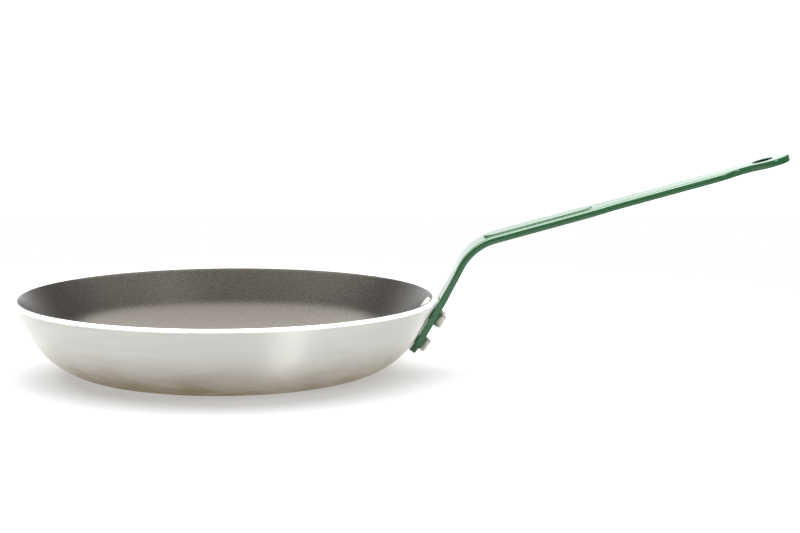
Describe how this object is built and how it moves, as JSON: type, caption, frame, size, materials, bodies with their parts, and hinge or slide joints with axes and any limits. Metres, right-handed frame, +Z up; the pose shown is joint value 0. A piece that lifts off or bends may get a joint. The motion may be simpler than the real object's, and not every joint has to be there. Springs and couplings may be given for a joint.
{
  "type": "frying pan",
  "caption": "Round nonstick frying pan with sloping walls, a flat base and a long bent strip handle that rises outward, riveted to the wall, with a hang hole at its tip.",
  "frame": {"origin": "centre of the flat underside, on the surface that the pan stands on", "axes": "+Z up along the pan's axis, +X from the axis towards the handle, +Y to the left of the handle seen from above"},
  "size_m": [0.5094, 0.28, 0.145],
  "materials": {
    "aluminium": "brushed round the axis, satin",
    "nonstick": "dark grey nonstick coating, satin with fine pale specks",
    "green_coat": "gloss green epoxy coating on strip steel",
    "rivet": "satin, as formed"
  },
  "bodies": {
    "root": {"pan_body": "aluminium", "nonstick_lining": "nonstick", "handle": "green_coat", "rivet_upper_front": "rivet", "rivet_upper_back": "rivet", "rivet_lower": "rivet"}
  },
  "joints": []
}
